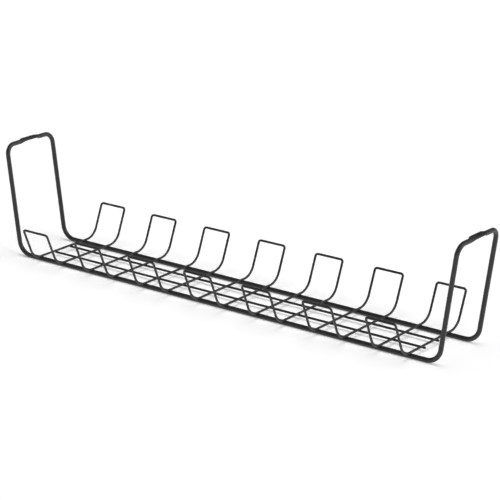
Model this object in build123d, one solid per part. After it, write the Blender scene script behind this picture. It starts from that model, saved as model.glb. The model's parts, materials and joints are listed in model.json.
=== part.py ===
from build123d import *
import math
import os

# A welded wire cable tray that screws up under a desk top. Sizes are in millimetres and degrees.
# +X runs along the tray, +Y points to its rear and +Z up. The origin lies below the tray's middle,
# on the surface that the two rails stand on.

# Wire stock
frame_wire = 6.0          # diameter of the heavy wire
thin_wire = 3.0           # diameter of the light wire
weld_sink = 0.2           # how far two crossing wires sink into each other at a weld

# Perimeter frame: two rails, four legs and two top bars, bent from heavy wire
top_bar_span = 694.0      # from one top bar's axis to the other's
frame_width = 86.4        # from the front rail's axis to the rear rail's
frame_height = 151.0      # from the underside of the rails to the top of the top bars
leg_splay = 7.8           # lean of each pair of legs, out from the upright
rail_bend = 19.3          # radius of the wire's axis between rail and leg
top_bend = 13.1           # radius of the wire's axis between leg and top bar

# Screw pads: the middle of each top bar, pressed flat and drilled
pad_length = 22.0         # flat part, along the bar
pad_taper = 7.0           # length over which the round wire turns into the flat
pad_width = 10.5
pad_thickness = 2.7
screw_hole = 5.0          # diameter

# Cradles: closed loops of light wire that lie across the rails and turn up into a tab at each end
cradle_count = 7
cradle_width = 41.0       # between the axes of a loop's two wires
end_gap = 21.3            # from the start of a rail's bend to the outermost wire's axis
floor_overhang = 2.4      # from a rail's axis to the start of the cradle's bend
tab_lean = 22.25          # lean of the tabs, out from the upright
tab_height = 44.0         # from the axis of the floor wires to the axis of the tab's top
tab_bend = 20.5           # radius of the wire's axis between floor and tab
tab_corner = 3.2          # radius of the wire's axis at the tab's two top corners

# Stringers: straight light wires along the tray, welded to the underside of the cradles
stringer_spacing = 29.6   # between the axes of the two
stringer_overhang = 2.5   # from the outermost cradle wire's axis to the stringer's end
stringer_end_round = 0.5  # radius on the edge of the cut end


def tangent_length(turn, bend):
    """Distance from a corner to the start of its bend, for a wire that turns by `turn` degrees."""
    return bend * math.tan(math.radians(turn / 2))


# Places that more than one piece takes
rail_y = frame_width / 2
rail_z = frame_wire / 2
top_bar_x = top_bar_span / 2
top_bar_z = frame_height - frame_wire / 2
corner_x = top_bar_x - (top_bar_z - rail_z) * math.tan(math.radians(leg_splay))
floor_z = rail_z + (frame_wire + thin_wire) / 2 - weld_sink
stringer_z = floor_z - thin_wire + weld_sink
outer_wire_x = corner_x - tangent_length(90 - leg_splay, rail_bend) - end_gap
cradle_pitch = (2 * outer_wire_x - cradle_width) / (cradle_count - 1)


def bent_wire(corners, bends, diameter):
    """One length of round wire through `corners`, with a bend radius for each inner corner."""
    path = FilletPolyline(*corners, radius=bends)
    section = Plane(origin=path @ 0, z_dir=path % 0) * Circle(diameter / 2)
    return sweep(section, path=path)


def bar_section(y, press):
    """The top bar's outline at y, from round wire (press 0) to pressed flat (press 1).

    It always has four edges, so that each outline matches the next in a loft, and its top stays
    level with the top of the round wire.
    """
    wire_r = frame_wire / 2
    corner = wire_r * math.sqrt(0.5)
    flat_half = pad_width / 2 - pad_thickness / 2

    def blend(round_size, flat_size):
        return round_size + press * (flat_size - round_size)

    half_width = blend(wire_r, pad_width / 2)
    half_height = blend(wire_r, pad_thickness / 2)
    corner_u = blend(corner, flat_half)
    corner_v = blend(corner, pad_thickness / 2)
    edges = []
    for side in (1, -1):
        ends = [(-side * corner_u, side * corner_v), (side * corner_u, side * corner_v)]
        if press == 1:
            edges.append(Line(*ends))
        else:
            edges.append(ThreePointArc(ends[0], (0, side * half_height), ends[1]))
        foot = (side * corner_u, -side * corner_v)
        edges.append(ThreePointArc(ends[1], (side * half_width, 0), foot))
    place = Plane(origin=(0, y, frame_height - half_height), x_dir=(-1, 0, 0), z_dir=(0, 1, 0))
    return place * make_face(Wire(edges))


def screw_pad():
    """The flat middle of a top bar, with a taper at each end and its screw hole."""
    pad = extrude(bar_section(-pad_length / 2, 1), amount=pad_length, dir=(0, 1, 0))
    sections = 5
    for side in (1, -1):
        outlines = []
        for number in range(sections):
            along = number / (sections - 1)
            press = along * along * (3 - 2 * along)
            y = side * (pad_length / 2 + (1 - along) * pad_taper)
            outlines.append(bar_section(y, press))
        pad += loft(outlines)
    drill_length = 2 * frame_wire
    hole = Pos(0, 0, frame_height) * Cylinder(screw_hole / 2, drill_length)
    return pad - hole


def perimeter_frame():
    """The heavy wire loop, made as a front half, a rear half and the two screw pads between them."""
    pad_end = pad_length / 2 + pad_taper
    corners = [
        (-top_bar_x, -pad_end, top_bar_z),
        (-top_bar_x, -rail_y, top_bar_z),
        (-corner_x, -rail_y, rail_z),
        (corner_x, -rail_y, rail_z),
        (top_bar_x, -rail_y, top_bar_z),
        (top_bar_x, -pad_end, top_bar_z),
    ]
    front = bent_wire(corners, [top_bend, rail_bend, rail_bend, top_bend], frame_wire)
    frame = front + mirror(front, about=Plane.XZ)
    for x in (-top_bar_x, top_bar_x):
        frame += Pos(x, 0, 0) * screw_pad()
    return frame


def cradle():
    """One closed loop of light wire, centred on x = 0."""
    floor_y = rail_y + floor_overhang + tangent_length(90 - tab_lean, tab_bend)
    tab_y = floor_y + tab_height * math.tan(math.radians(tab_lean))
    tab_z = floor_z + tab_height
    x = cradle_width / 2
    corners = [
        (0, -tab_y, tab_z),
        (x, -tab_y, tab_z),
        (x, -floor_y, floor_z),
        (x, floor_y, floor_z),
        (x, tab_y, tab_z),
        (0, tab_y, tab_z),
    ]
    half = bent_wire(corners, [tab_corner, tab_bend, tab_bend, tab_corner], thin_wire)
    return half + mirror(half, about=Plane.YZ)


def stringer():
    """One straight wire along x, with its cut ends slightly rounded."""
    length = 2 * (outer_wire_x + stringer_overhang)
    wire = Rot(0, 90, 0) * Cylinder(thin_wire / 2, length)
    return fillet(wire.edges().filter_by(GeomType.CIRCLE), stringer_end_round)


parts = {"perimeter_frame": perimeter_frame()}

one_cradle = cradle()
for number in range(cradle_count):
    x = (number - (cradle_count - 1) / 2) * cradle_pitch
    parts[f"cradle_{number + 1}"] = Pos(x, 0, 0) * one_cradle

one_stringer = stringer()
for name, side in (("stringer_front", -1), ("stringer_rear", 1)):
    parts[name] = Pos(0, side * stringer_spacing / 2, stringer_z) * one_stringer

os.makedirs("parts", exist_ok=True)
for name, shape in parts.items():
    export_step(shape, f"parts/{name}.step")
    size = shape.bounding_box().size
    print(f"{name}: {shape.volume:.0f} mm3, {size.X:.1f} x {size.Y:.1f} x {size.Z:.1f} mm")
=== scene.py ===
import json
import math

import bmesh
import bpy
from mathutils import Matrix, Quaternion, Vector


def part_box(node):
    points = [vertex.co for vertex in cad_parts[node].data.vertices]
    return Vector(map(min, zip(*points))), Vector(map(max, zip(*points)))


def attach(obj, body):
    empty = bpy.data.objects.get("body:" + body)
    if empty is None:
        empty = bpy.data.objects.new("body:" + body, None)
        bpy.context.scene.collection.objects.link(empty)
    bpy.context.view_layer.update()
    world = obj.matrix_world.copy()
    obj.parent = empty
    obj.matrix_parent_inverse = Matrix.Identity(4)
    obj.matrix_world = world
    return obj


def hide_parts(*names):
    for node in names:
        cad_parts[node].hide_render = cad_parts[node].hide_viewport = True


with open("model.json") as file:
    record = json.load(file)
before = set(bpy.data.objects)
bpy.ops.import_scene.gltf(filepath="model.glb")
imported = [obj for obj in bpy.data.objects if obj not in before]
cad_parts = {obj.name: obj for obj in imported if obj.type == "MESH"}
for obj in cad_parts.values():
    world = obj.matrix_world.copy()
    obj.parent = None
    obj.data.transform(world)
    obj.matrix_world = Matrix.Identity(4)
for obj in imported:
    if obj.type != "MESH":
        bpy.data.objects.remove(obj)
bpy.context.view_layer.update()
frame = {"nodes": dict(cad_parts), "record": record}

mm = 0.001
near = 0.02 * mm  # two places closer than this are the same place
alongX = Vector((1, 0, 0))
alongY = Vector((0, 1, 0))
alongZ = Vector((0, 0, 1))


def clearSelection():
    if bpy.context.mode != "OBJECT":
        bpy.ops.object.mode_set(mode="OBJECT")
    bpy.ops.object.select_all(action="DESELECT")


def pickPoints(piece, wanted):
    mesh = bmesh.from_edit_mesh(piece.data)
    for face in mesh.faces:
        face.select_set(False)
    for point in mesh.verts:
        point.select_set(wanted(point.co))
    mesh.select_flush(True)
    bmesh.update_edit_mesh(piece.data)


def pickEdges(piece, wanted):
    mesh = bmesh.from_edit_mesh(piece.data)
    for face in mesh.faces:
        face.select_set(False)
    for edge in mesh.edges:
        edge.select_set(False)
    for edge in mesh.edges:
        if wanted(edge.verts[0].co, edge.verts[1].co):
            edge.select_set(True)
    bmesh.update_edit_mesh(piece.data)


# a wire is formed as on a bending machine: fed straight, then bent round a former, then fed again
def startWire(name, at, heading, diameter, sides):
    # an open ring across the heading, turned half a side so that no point lies on its middle plane
    clearSelection()
    turn = heading.to_track_quat("Z", "Y") @ Quaternion((0, 0, 1), math.pi / sides)
    bpy.ops.mesh.primitive_circle_add(vertices=sides, radius=diameter / 2, fill_type="NOTHING",
                                      location=at, rotation=turn.to_euler())
    piece = bpy.context.active_object
    piece.name = name
    bpy.ops.object.transform_apply(location=True, rotation=True, scale=True)
    bpy.ops.object.mode_set(mode="EDIT")
    bpy.ops.mesh.select_mode(type="VERT")
    bpy.ops.mesh.select_all(action="SELECT")
    return {"piece": piece, "end": at.copy(), "heading": heading.copy()}


def feedWire(wire, length):
    step = wire["heading"] * length
    bpy.ops.mesh.extrude_region_move(TRANSFORM_OT_translate={"value": step})
    wire["end"] += step


def bendWire(wire, angle, radius, axis, steps):
    # round a former whose axle lies to the side that the wire turns towards
    centre = wire["end"] + axis.cross(wire["heading"]) * radius
    bpy.ops.mesh.spin(steps=steps, angle=-angle, center=centre, axis=axis)
    turn = Matrix.Rotation(angle, 3, axis)
    wire["end"] = centre + turn @ (wire["end"] - centre)
    wire["heading"] = turn @ wire["heading"]


def mirrorQuarter(piece):
    clearSelection()
    bpy.context.view_layer.objects.active = piece
    piece.select_set(True)
    mirror = piece.modifiers.new("bothWays", "MIRROR")
    mirror.use_axis = (True, True, False)
    mirror.merge_threshold = near
    bpy.ops.object.modifier_apply(modifier=mirror.name)
    bpy.ops.object.mode_set(mode="EDIT")
    bpy.ops.mesh.select_all(action="SELECT")
    bpy.ops.mesh.remove_doubles(threshold=near)
    bpy.ops.mesh.normals_make_consistent(inside=False)
    bpy.ops.object.mode_set(mode="OBJECT")


def smoothOver(piece, smoothUpTo):
    # edges that turn by more degrees than this stay sharp
    clearSelection()
    bpy.context.view_layer.objects.active = piece
    piece.select_set(True)
    bpy.ops.object.shade_smooth_by_angle(angle=math.radians(smoothUpTo))
    level = piece.modifiers.new("evenNormals", "WEIGHTED_NORMAL")
    level.keep_sharp = True
    bpy.ops.object.modifier_apply(modifier=level.name)


def tangentLength(turn, radius):
    return radius * math.tan(turn / 2)


# the heavy wire loop: two rails, four legs and two top bars, whose middles are pressed flat
mounts = frame["record"]["mounts"]
screwHoles = next(mount for mount in mounts if mount["name"] == "screw_holes")

heavyWire = {
    "diameter": 6 * mm,
    "sides": 32,
    "splay": math.radians(7.8),
    "railBend": 19.3 * mm,
    "topBend": 13.1 * mm,
    "railSteps": 14,
    "topSteps": 14,
    "padLength": 22 * mm,
    "padTaper": 7 * mm,
    "padWidth": 10.5 * mm,
    "padThickness": 2.7 * mm,
    "taperSteps": 14,
    "holeSides": 48,
    "holeRim": 0.25 * mm,
    "rimSteps": 3,
    "drillDepth": 20 * mm,
    "smoothUpTo": 35,
}


def pressPad(piece, barX, barZ, rings):
    # each ring shrinks to the pad's thickness, lifts level with the bar's top, then spreads
    radius = heavyWire["diameter"] / 2
    spread = (heavyWire["padWidth"] - heavyWire["padThickness"]) / 2
    for ringY, press in rings:
        def onRing(co):
            return abs(co.y - ringY) < near and co.z > barZ - 2 * radius
        pickPoints(piece, onRing)
        shrink = 1 + press * (heavyWire["padThickness"] / heavyWire["diameter"] - 1)
        bpy.ops.transform.resize(value=(shrink, 1, shrink), center_override=(barX, ringY, barZ))
        bpy.ops.transform.translate(value=(0, 0, radius * (1 - shrink)))
        for side in (-1, 1):
            pickPoints(piece, lambda co: onRing(co) and (co.x - barX) * side > 0)
            bpy.ops.transform.translate(value=(side * press * spread, 0, 0))


def drillPads(piece, holes, radius):
    for hole in holes:
        clearSelection()
        bpy.ops.mesh.primitive_cylinder_add(vertices=heavyWire["holeSides"], radius=radius,
                                            depth=heavyWire["drillDepth"], location=hole)
        drill = bpy.context.active_object
        cut = piece.modifiers.new("screwHole", "BOOLEAN")
        cut.operation = "DIFFERENCE"
        cut.solver = "EXACT"
        cut.object = drill
        clearSelection()
        bpy.context.view_layer.objects.active = piece
        piece.select_set(True)
        bpy.ops.object.modifier_apply(modifier=cut.name)
        bpy.data.objects.remove(drill)
    bpy.ops.object.mode_set(mode="EDIT")
    bpy.ops.mesh.select_mode(type="EDGE")
    for hole in holes:
        def onRim(co):
            atHeight = abs(co.z - hole.z) < heavyWire["drillDepth"] / 2
            return atHeight and abs((co.xy - hole.xy).length - radius) < near
        pickEdges(piece, lambda a, b: onRim(a) and onRim(b) and abs(a.z - b.z) < near)
        bpy.ops.mesh.bevel(offset=heavyWire["holeRim"], segments=heavyWire["rimSteps"],
                           affect="EDGES")
    bpy.ops.object.mode_set(mode="OBJECT")


def makeFrameWire():
    low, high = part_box("perimeter_frame")
    radius = heavyWire["diameter"] / 2
    barX = -screwHoles["dims"]["spacing_x_mm"] * mm / 2
    barZ = high.z - radius
    railY = high.y - radius
    railZ = low.z + radius
    splay = heavyWire["splay"]
    down = Vector((math.sin(splay), 0, -math.cos(splay)))
    legTurn = math.pi / 2 - splay
    legLength = (barZ - railZ) / math.cos(splay)

    # a quarter, from the middle of the left top bar to the middle of the front rail
    wire = startWire("frameWire", Vector((barX, 0, barZ)), -alongY, 2 * radius, heavyWire["sides"])
    rings = [(0, 1), (-heavyWire["padLength"] / 2, 1)]
    feedWire(wire, heavyWire["padLength"] / 2)
    for step in range(heavyWire["taperSteps"]):
        feedWire(wire, heavyWire["padTaper"] / heavyWire["taperSteps"])
        part = (step + 1) / heavyWire["taperSteps"]
        rings.append((wire["end"].y, 1 - part * part * (3 - 2 * part)))
    bendStart = railY - tangentLength(math.pi / 2, heavyWire["topBend"])
    feedWire(wire, bendStart + wire["end"].y)
    bendWire(wire, math.pi / 2, heavyWire["topBend"], -alongY.cross(down), heavyWire["topSteps"])
    feedWire(wire, legLength - tangentLength(math.pi / 2, heavyWire["topBend"])
             - tangentLength(legTurn, heavyWire["railBend"]))
    bendWire(wire, legTurn, heavyWire["railBend"], -alongY, heavyWire["railSteps"])
    feedWire(wire, -wire["end"].x)
    piece = wire["piece"]
    pressPad(piece, barX, barZ, rings)
    mirrorQuarter(piece)
    drillPads(piece, [Vector((x, 0, barZ)) for x in (barX, -barX)],
              screwHoles["dims"]["hole_r_mm"] * mm)
    smoothOver(piece, heavyWire["smoothUpTo"])
    print("frame wire formed, pads pressed and drilled")
    return piece


# the light wire loops: each lies across the rails and turns up into a tab at both ends
lightWire = {
    "diameter": 3 * mm,
    "sides": 24,
    "tabLean": math.radians(22.25),
    "tabBend": 20.5 * mm,
    "tabCorner": 3.2 * mm,
    "bendSteps": 14,
    "cornerSteps": 8,
    "smoothUpTo": 60,
}


def makeCradle(node):
    low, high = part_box(node)
    radius = lightWire["diameter"] / 2
    middle = (low.x + high.x) / 2
    wireX = (high.x - low.x) / 2 - radius
    floorZ = low.z + radius
    tabZ = high.z - radius
    tabY = high.y - radius
    lean = lightWire["tabLean"]
    down = Vector((0, math.sin(lean), -math.cos(lean)))
    floorTurn = math.pi / 2 - lean
    corner = lightWire["tabCorner"]

    # a quarter, from the middle of the front tab's top to the middle of one floor wire
    wire = startWire(f"{node}_wire", Vector((0, -tabY, tabZ)), alongX, 2 * radius, lightWire["sides"])
    feedWire(wire, wireX - corner)
    bendWire(wire, math.pi / 2, corner, alongX.cross(down), lightWire["cornerSteps"])
    feedWire(wire, (tabZ - floorZ) / math.cos(lean) - corner
             - tangentLength(floorTurn, lightWire["tabBend"]))
    bendWire(wire, floorTurn, lightWire["tabBend"], alongX, lightWire["bendSteps"])
    feedWire(wire, -wire["end"].y)
    piece = wire["piece"]
    mirrorQuarter(piece)
    smoothOver(piece, lightWire["smoothUpTo"])
    piece.location.x = middle
    bpy.ops.object.transform_apply(location=True, rotation=False, scale=False)
    return piece


def copyTo(piece, name, shift):
    clearSelection()
    bpy.context.view_layer.objects.active = piece
    piece.select_set(True)
    bpy.ops.object.duplicate(linked=False)
    copy = bpy.context.active_object
    copy.name = name
    copy.location = shift
    bpy.ops.object.transform_apply(location=True, rotation=False, scale=False)
    return copy


def makeCradles(nodes):
    first = makeCradle(nodes[0])
    made = [first]
    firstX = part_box(nodes[0])[0].x
    for node in nodes[1:]:
        shift = Vector((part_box(node)[0].x - firstX, 0, 0))
        made.append(copyTo(first, f"{node}_wire", shift))
    print(len(made), "cradles formed")
    return made


# the straight wires under the floor, cut to length
straightWire = {
    "sides": 24,
    "cutRound": 0.5 * mm,
    "cutSteps": 3,
    "smoothUpTo": 35,
}


def makeStringer(node):
    low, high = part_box(node)
    radius = (high.z - low.z) / 2
    start = Vector((low.x, (low.y + high.y) / 2, (low.z + high.z) / 2))
    wire = startWire(f"{node}_wire", start, alongX, 2 * radius, straightWire["sides"])
    piece = wire["piece"]
    feedWire(wire, high.x - low.x)
    for endX in (low.x, high.x):
        pickPoints(piece, lambda co: abs(co.x - endX) < near)
        bpy.ops.mesh.edge_face_add()
    bpy.ops.mesh.select_mode(type="EDGE")
    pickEdges(piece, lambda a, b: abs(a.x - b.x) < near)
    bpy.ops.mesh.bevel(offset=straightWire["cutRound"], segments=straightWire["cutSteps"],
                       affect="EDGES")
    bpy.ops.mesh.select_all(action="SELECT")
    bpy.ops.mesh.normals_make_consistent(inside=False)
    bpy.ops.object.mode_set(mode="OBJECT")
    smoothOver(piece, straightWire["smoothUpTo"])
    print(node, "cut to length")
    return piece


# weld nuggets, smoothed over by the coating: (half width in x, half depth in y) at the waist,
# then (distance from the waist, half width, half depth) above and below it, all in millimetres
railWeld = {
    "waist": (1.15, 1.3),
    "upper": [(0.2, 1.1, 1.35), (0.5, 1.15, 1.7), (0.9, 1.2, 2.3)],
    "lower": [(0.2, 1.35, 1.4), (0.5, 1.9, 1.6), (0.9, 2.6, 1.9)],
}
stringerWeld = {
    "waist": (1.15, 1.15),
    "upper": [(0.2, 1.1, 1.3), (0.5, 1.12, 1.7), (0.9, 1.2, 2.3)],
    "lower": [(0.2, 1.3, 1.1), (0.5, 1.7, 1.12), (0.9, 2.3, 1.2)],
}
weldSides = 20
weldSmoothUpTo = 60


def makeWeld(name, at, sizes):
    clearSelection()
    bpy.ops.mesh.primitive_circle_add(vertices=weldSides, radius=1 * mm, fill_type="NOTHING",
                                      location=at)
    weld = bpy.context.active_object
    weld.name = name
    bpy.ops.object.transform_apply(location=True, rotation=True, scale=True)
    bpy.ops.object.mode_set(mode="EDIT")
    bpy.ops.mesh.select_mode(type="VERT")
    bpy.ops.mesh.select_all(action="SELECT")
    bpy.ops.transform.resize(value=(*sizes["waist"], 1), center_override=at)
    for way, rows in ((1, sizes["upper"]), (-1, sizes["lower"])):
        pickPoints(weld, lambda co: abs(co.z - at.z) < near)
        width, depth, height = (*sizes["waist"], 0)
        for nextHeight, nextWidth, nextDepth in rows:
            rise = Vector((0, 0, way * (nextHeight - height) * mm))
            bpy.ops.mesh.extrude_region_move(TRANSFORM_OT_translate={"value": rise})
            bpy.ops.transform.resize(value=(nextWidth / width, nextDepth / depth, 1),
                                     center_override=at)
            width, depth, height = nextWidth, nextDepth, nextHeight
        bpy.ops.mesh.edge_face_add()
    bpy.ops.mesh.select_all(action="SELECT")
    bpy.ops.mesh.normals_make_consistent(inside=False)
    bpy.ops.object.mode_set(mode="OBJECT")
    return weld


def joinPieces(name, group):
    clearSelection()
    for piece in group:
        piece.select_set(True)
    bpy.context.view_layer.objects.active = group[0]
    bpy.ops.object.join()
    group[0].name = name
    return group[0]


def makeWelds(name, sizes, spots):
    first = makeWeld(name, spots[0], sizes)
    group = [first] + [copyTo(first, name, spot - spots[0]) for spot in spots[1:]]
    whole = joinPieces(name, group)
    smoothOver(whole, weldSmoothUpTo)
    print(len(spots), name)
    return whole


# satin powder coat: an even dark colour, a fine orange-peel skin and slightly uneven gloss
def coatMaterial(name, look):
    material = bpy.data.materials.new(name)
    material.use_nodes = True
    nodes = material.node_tree.nodes
    links = material.node_tree.links
    shader = nodes["Principled BSDF"]
    shader.inputs["Metallic"].default_value = 0
    shader.inputs["Specular IOR Level"].default_value = look["specular"]
    place = nodes.new("ShaderNodeTexCoord")

    cloud = nodes.new("ShaderNodeTexNoise")
    cloud.inputs["Scale"].default_value = look["cloudScale"]
    cloud.inputs["Detail"].default_value = look["cloudDetail"]
    links.new(place.outputs["Object"], cloud.inputs["Vector"])
    tone = nodes.new("ShaderNodeValToRGB")
    tone.color_ramp.elements[0].position = look["toneEdges"][0]
    tone.color_ramp.elements[0].color = (*look["darkTone"], 1)
    tone.color_ramp.elements[1].position = look["toneEdges"][1]
    tone.color_ramp.elements[1].color = (*look["lightTone"], 1)
    links.new(cloud.outputs["Fac"], tone.inputs["Fac"])
    links.new(tone.outputs["Color"], shader.inputs["Base Color"])

    gloss = nodes.new("ShaderNodeMapRange")
    gloss.inputs["To Min"].default_value = look["roughness"][0]
    gloss.inputs["To Max"].default_value = look["roughness"][1]
    links.new(cloud.outputs["Fac"], gloss.inputs["Value"])
    links.new(gloss.outputs["Result"], shader.inputs["Roughness"])

    peel = nodes.new("ShaderNodeTexNoise")
    peel.inputs["Scale"].default_value = look["peelScale"]
    peel.inputs["Detail"].default_value = look["peelDetail"]
    links.new(place.outputs["Object"], peel.inputs["Vector"])
    grain = nodes.new("ShaderNodeTexNoise")
    grain.inputs["Scale"].default_value = look["grainScale"]
    grain.inputs["Detail"].default_value = look["grainDetail"]
    links.new(place.outputs["Object"], grain.inputs["Vector"])
    skin = nodes.new("ShaderNodeMix")
    skin.inputs["Factor"].default_value = look["grainShare"]
    links.new(peel.outputs["Fac"], skin.inputs["A"])
    links.new(grain.outputs["Fac"], skin.inputs["B"])
    bump = nodes.new("ShaderNodeBump")
    bump.inputs["Strength"].default_value = look["bumpStrength"]
    bump.inputs["Distance"].default_value = look["bumpDepth"]
    links.new(skin.outputs["Result"], bump.inputs["Height"])
    links.new(bump.outputs["Normal"], shader.inputs["Normal"])
    return material


blackCoat = {
    "darkTone": (0.0235, 0.0235, 0.0253),
    "lightTone": (0.0305, 0.0305, 0.0327),
    "toneEdges": (0.35, 0.65),
    "specular": 0.4,
    "roughness": (0.33, 0.43),
    "cloudScale": 60,
    "cloudDetail": 3,
    "peelScale": 1100,
    "peelDetail": 2,
    "grainScale": 5200,
    "grainDetail": 1,
    "grainShare": 0.35,
    "bumpStrength": 0.35,
    "bumpDepth": 0.05 * mm,
}


cradleNodes = sorted(name for name in frame["nodes"] if name.startswith("cradle_"))
stringerNodes = ["stringer_front", "stringer_rear"]

frameWire = makeFrameWire()
cradles = makeCradles(cradleNodes)
stringers = [makeStringer(node) for node in stringerNodes]

frameLow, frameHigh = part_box("perimeter_frame")
railY = frameHigh.y - heavyWire["diameter"] / 2
railTop = frameLow.z + heavyWire["diameter"]
floorWires = []
for node in cradleNodes:
    low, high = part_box(node)
    floorWires += [low.x + lightWire["diameter"] / 2, high.x - lightWire["diameter"] / 2]
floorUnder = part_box(cradleNodes[0])[0].z
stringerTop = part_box(stringerNodes[0])[1].z
stringerY = [(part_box(node)[0].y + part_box(node)[1].y) / 2 for node in stringerNodes]

railSpots = [Vector((x, y, (railTop + floorUnder) / 2)) for x in floorWires for y in (-railY, railY)]
stringerSpots = [Vector((x, y, (stringerTop + floorUnder) / 2))
                 for x in floorWires for y in stringerY]
railWelds = makeWelds("rail_welds", railWeld, railSpots)
stringerWelds = makeWelds("stringer_welds", stringerWeld, stringerSpots)

coat = coatMaterial("blackPowderCoat", blackCoat)
for piece in [frameWire, *cradles, *stringers, railWelds, stringerWelds]:
    piece.data.materials.clear()
    piece.data.materials.append(coat)
    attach(piece, "root")
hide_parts("perimeter_frame")
for piece, node in zip([*cradles, *stringers], [*cradleNodes, *stringerNodes]):
    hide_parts(node)
print("pieces coated and fixed to the frame")


# sizes and distances in metres
studio = {
    "white": (1, 1, 1, 1),
    "paperRoughness": 0.9,
    "floorSize": 60,
    "floorColor": (0.9, 0.9, 0.9, 1),
    "floorGlow": 0.29,
    "wallRadius": 25,
    "wallHeight": 40,
    "wallSides": 96,
    "wallColor": (0, 0, 0, 1),
    "wallGlow": 1,
    "worldStrength": 0.1,
    "lampDistance": 2,
}


def paperMaterial(name, color, glow):
    paper = bpy.data.materials.new(name)
    paper.use_nodes = True
    shader = paper.node_tree.nodes["Principled BSDF"]
    shader.inputs["Base Color"].default_value = color
    shader.inputs["Roughness"].default_value = studio["paperRoughness"]
    shader.inputs["Specular IOR Level"].default_value = 0
    shader.inputs["Emission Color"].default_value = studio["white"]
    shader.inputs["Emission Strength"].default_value = glow
    return paper


clearSelection()
bpy.ops.mesh.primitive_plane_add(size=studio["floorSize"], location=(0, 0, frameLow.z))
floor = bpy.context.active_object
floor.name = "floor"
floor.data.materials.append(paperMaterial("whitePaper", studio["floorColor"], studio["floorGlow"]))

# a pale round wall fills the view above the floor, and neither lights nor shades the tray
clearSelection()
bpy.ops.mesh.primitive_cylinder_add(vertices=studio["wallSides"], radius=studio["wallRadius"],
                                    depth=studio["wallHeight"], end_fill_type="NOTHING",
                                    location=(0, 0, frameLow.z))
wall = bpy.context.active_object
wall.name = "wall"
wall.data.materials.append(paperMaterial("wallPaper", studio["wallColor"], studio["wallGlow"]))
wall.visible_diffuse = False
wall.visible_glossy = False
wall.visible_shadow = False

world = bpy.data.worlds.new("studioLight")
world.use_nodes = True
background = world.node_tree.nodes["Background"]
background.inputs["Color"].default_value = studio["white"]
background.inputs["Strength"].default_value = studio["worldStrength"]
bpy.context.scene.world = world

# wide soft lamps, in degrees; the one overhead only lights, the other two also shine in the coat
softLights = {
    "overheadLight": {"azimuth": 0, "elevation": 90, "spread": 46, "strength": 1.45, "mirrored": False},
    "sideLight": {"azimuth": 82, "elevation": 40, "spread": 20, "strength": 0.6, "mirrored": True},
    "rearLight": {"azimuth": 120, "elevation": 25, "spread": 50, "strength": 1, "mirrored": True},
}


def aimBack(azimuth, elevation):
    # the way from the tray to a camera or lamp: azimuth 0 stands in front, 90 to the right
    a = math.radians(azimuth)
    e = math.radians(elevation)
    return Vector((math.sin(a) * math.cos(e), -math.cos(a) * math.cos(e), math.sin(e)))


for name, light in softLights.items():
    lamp = bpy.data.lights.new(name, "SUN")
    lamp.angle = math.radians(light["spread"])
    lamp.energy = light["strength"]
    holder = bpy.data.objects.new(name, lamp)
    back = aimBack(light["azimuth"], light["elevation"])
    holder.location = back * studio["lampDistance"]
    holder.rotation_euler = back.to_track_quat("Z", "Y").to_euler()
    holder.visible_glossy = light["mirrored"]
    bpy.context.scene.collection.objects.link(holder)

# where the camera stands: turns in degrees, distances in metres, lens and sensor in millimetres
viewpoint = {
    "azimuth": 37.067,
    "elevation": 18.302,
    "roll": 0.214,
    "distance": 2.4687,
    "sideways": 0.01855,
    "upwards": 0.05614,
    "lens": 141.3,
    "sensorWidth": 36,
    "farthest": 100,
}

back = aimBack(viewpoint["azimuth"], viewpoint["elevation"])
side = alongZ.cross(back).normalized()
rise = back.cross(side)
roll = Quaternion(back, math.radians(viewpoint["roll"]))
side.rotate(roll)
rise.rotate(roll)
lensData = bpy.data.cameras.new("camera")
lensData.lens = viewpoint["lens"]
lensData.sensor_width = viewpoint["sensorWidth"]
lensData.clip_end = viewpoint["farthest"]
camera = bpy.data.objects.new("camera", lensData)
camera.matrix_world = Matrix((side, rise, back)).transposed().to_4x4()
camera.location = (back * viewpoint["distance"] + side * viewpoint["sideways"]
                   + rise * viewpoint["upwards"] + alongZ * heavyWire["diameter"] / 2)
bpy.context.scene.collection.objects.link(camera)
bpy.context.scene.camera = camera
bpy.context.scene.view_settings.view_transform = "Standard"
print("camera and lights set")
